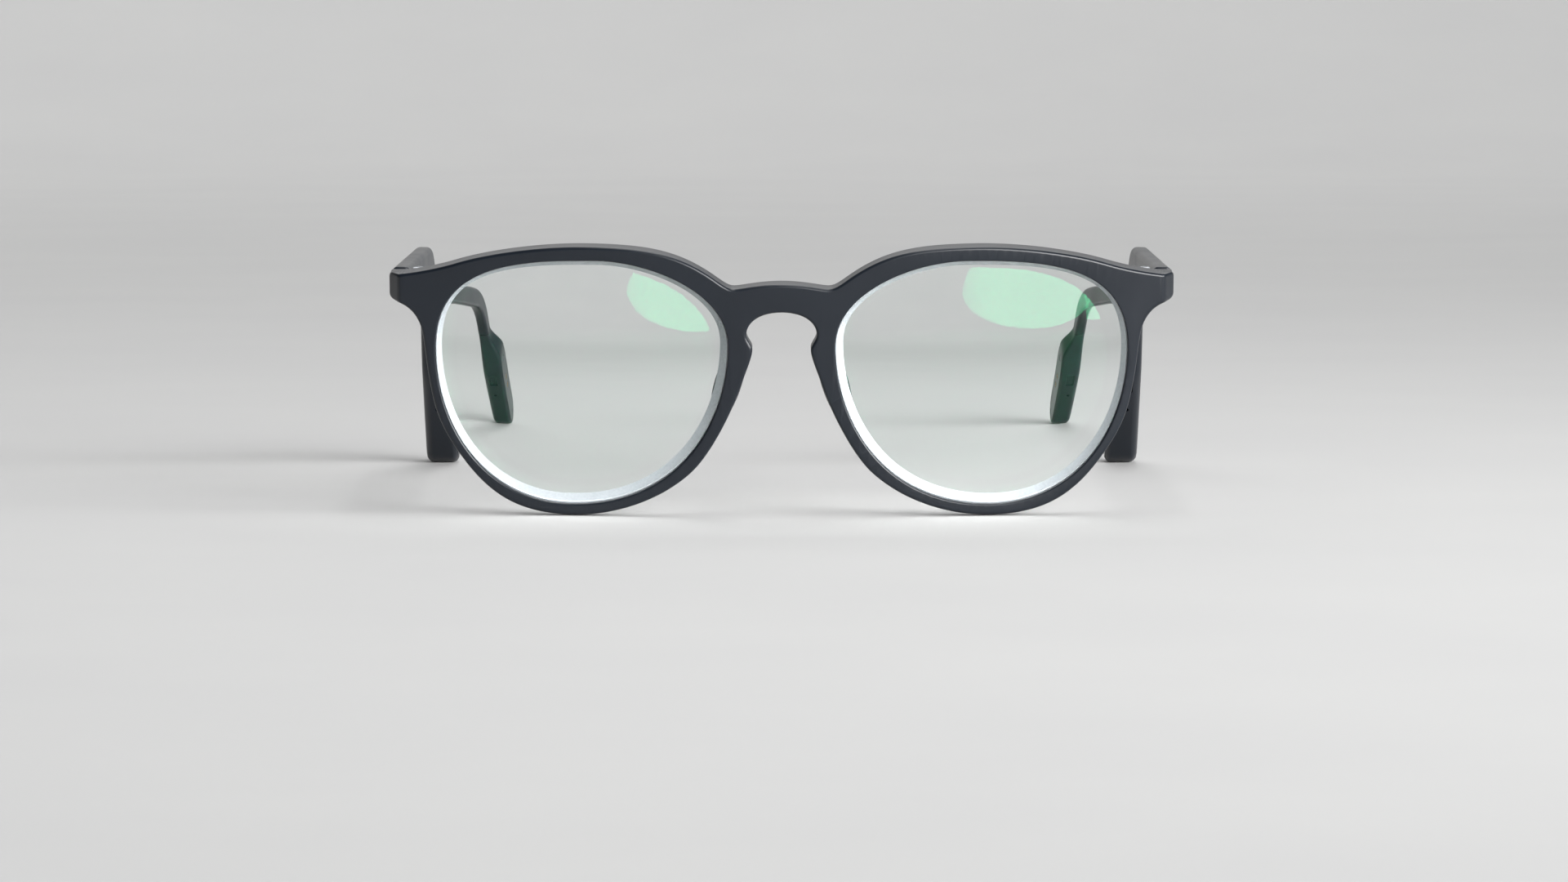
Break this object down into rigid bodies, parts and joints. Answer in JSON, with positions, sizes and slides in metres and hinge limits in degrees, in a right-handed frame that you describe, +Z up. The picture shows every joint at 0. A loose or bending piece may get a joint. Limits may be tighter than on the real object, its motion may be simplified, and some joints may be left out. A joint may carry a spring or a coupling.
{
  "type": "smart glasses",
  "caption": "Round keyhole-bridge spectacles with clear minus lenses and folding temples that end in sealed electronics pods behind the ears.",
  "frame": {"origin": "on the table, in the middle of the open glasses: halfway across the face and halfway from the front to the pod tips", "axes": "+X to the wearer's left, +Y from the front back to the ears, +Z up"},
  "size_m": [0.1378, 0.1455, 0.0482],
  "materials": {
    "frame": "slate blue-grey nylon with a satin soft-touch lacquer",
    "lens": "clear organic lens with a green anti-reflective coating",
    "steel": "stainless steel, stamped and tumbled",
    "seal": "black silicone",
    "board": "green solder mask on glass-epoxy",
    "battery": "laminated battery foil",
    "switch": "moulded black plastic",
    "copper": "etched copper foil",
    "gold": "gold plate",
    "magnet": "nickel plate",
    "light_pipe": "clear acrylic",
    "button": "moulded dark plastic"
  },
  "bodies": {
    "front": {"front_frame": "frame", "lens_left": "lens", "nose_pad_left": "frame", "front_hinge_left": "steel", "hinge_rivet_left": "steel", "hinge_screw_left": "steel", "lens_right": "lens", "nose_pad_right": "frame", "front_hinge_right": "steel", "hinge_rivet_right": "steel", "hinge_screw_right": "steel"},
    "temple_left": {"temple_arm_left": "frame", "pod_shell_left": "frame", "pod_cover_left": "frame", "temple_hinge_left": "steel", "core_wire_left": "steel", "pod_screw_front_left": "steel", "pod_screw_rear_left": "steel", "speaker_left": "steel", "speaker_mesh_left": "steel", "radio_shield_left": "steel", "microphone_left": "steel", "pod_seal_left": "seal", "circuit_board_left": "board", "battery_left": "battery", "button_switch_left": "switch", "antenna_left": "copper", "charge_contact_1_left": "gold", "charge_contact_2_left": "gold", "dock_magnet_left": "magnet", "light_pipe_left": "light_pipe"},
    "button_left": {"button_left": "button"},
    "temple_right": {"temple_arm_right": "frame", "pod_shell_right": "frame", "pod_cover_right": "frame", "temple_hinge_right": "steel", "core_wire_right": "steel", "pod_screw_front_right": "steel", "pod_screw_rear_right": "steel", "speaker_right": "steel", "speaker_mesh_right": "steel", "radio_shield_right": "steel", "microphone_right": "steel", "pod_seal_right": "seal", "circuit_board_right": "board", "battery_right": "battery", "button_switch_right": "switch", "antenna_right": "copper", "charge_contact_1_right": "gold", "charge_contact_2_right": "gold", "dock_magnet_right": "magnet", "light_pipe_right": "light_pipe"},
    "button_right": {"button_right": "button"}
  },
  "joints": [
    {"name": "temple_fold_left", "type": "hinge", "parent": "front", "child": "temple_left", "pos_m": [0.0639, -0.05898, 0.04113], "axis": [0, -0.1736, 0.9848], "range_deg": [0, 90]},
    {"name": "temple_fold_right", "type": "hinge", "parent": "front", "child": "temple_right", "pos_m": [-0.0639, -0.05898, 0.04113], "axis": [0, 0.1736, -0.9848], "range_deg": [0, 83]},
    {"name": "button_press_left", "type": "slide", "parent": "temple_left", "child": "button_left", "axis": [0, -0.7071, -0.7071], "range_m": [0, 0.00035], "stiffness_N_per_m": 1500, "springref_m": -0.0004},
    {"name": "button_press_right", "type": "slide", "parent": "temple_right", "child": "button_right", "axis": [0, -0.7071, -0.7071], "range_m": [0, 0.00035], "stiffness_N_per_m": 1500, "springref_m": -0.0004}
  ]
}
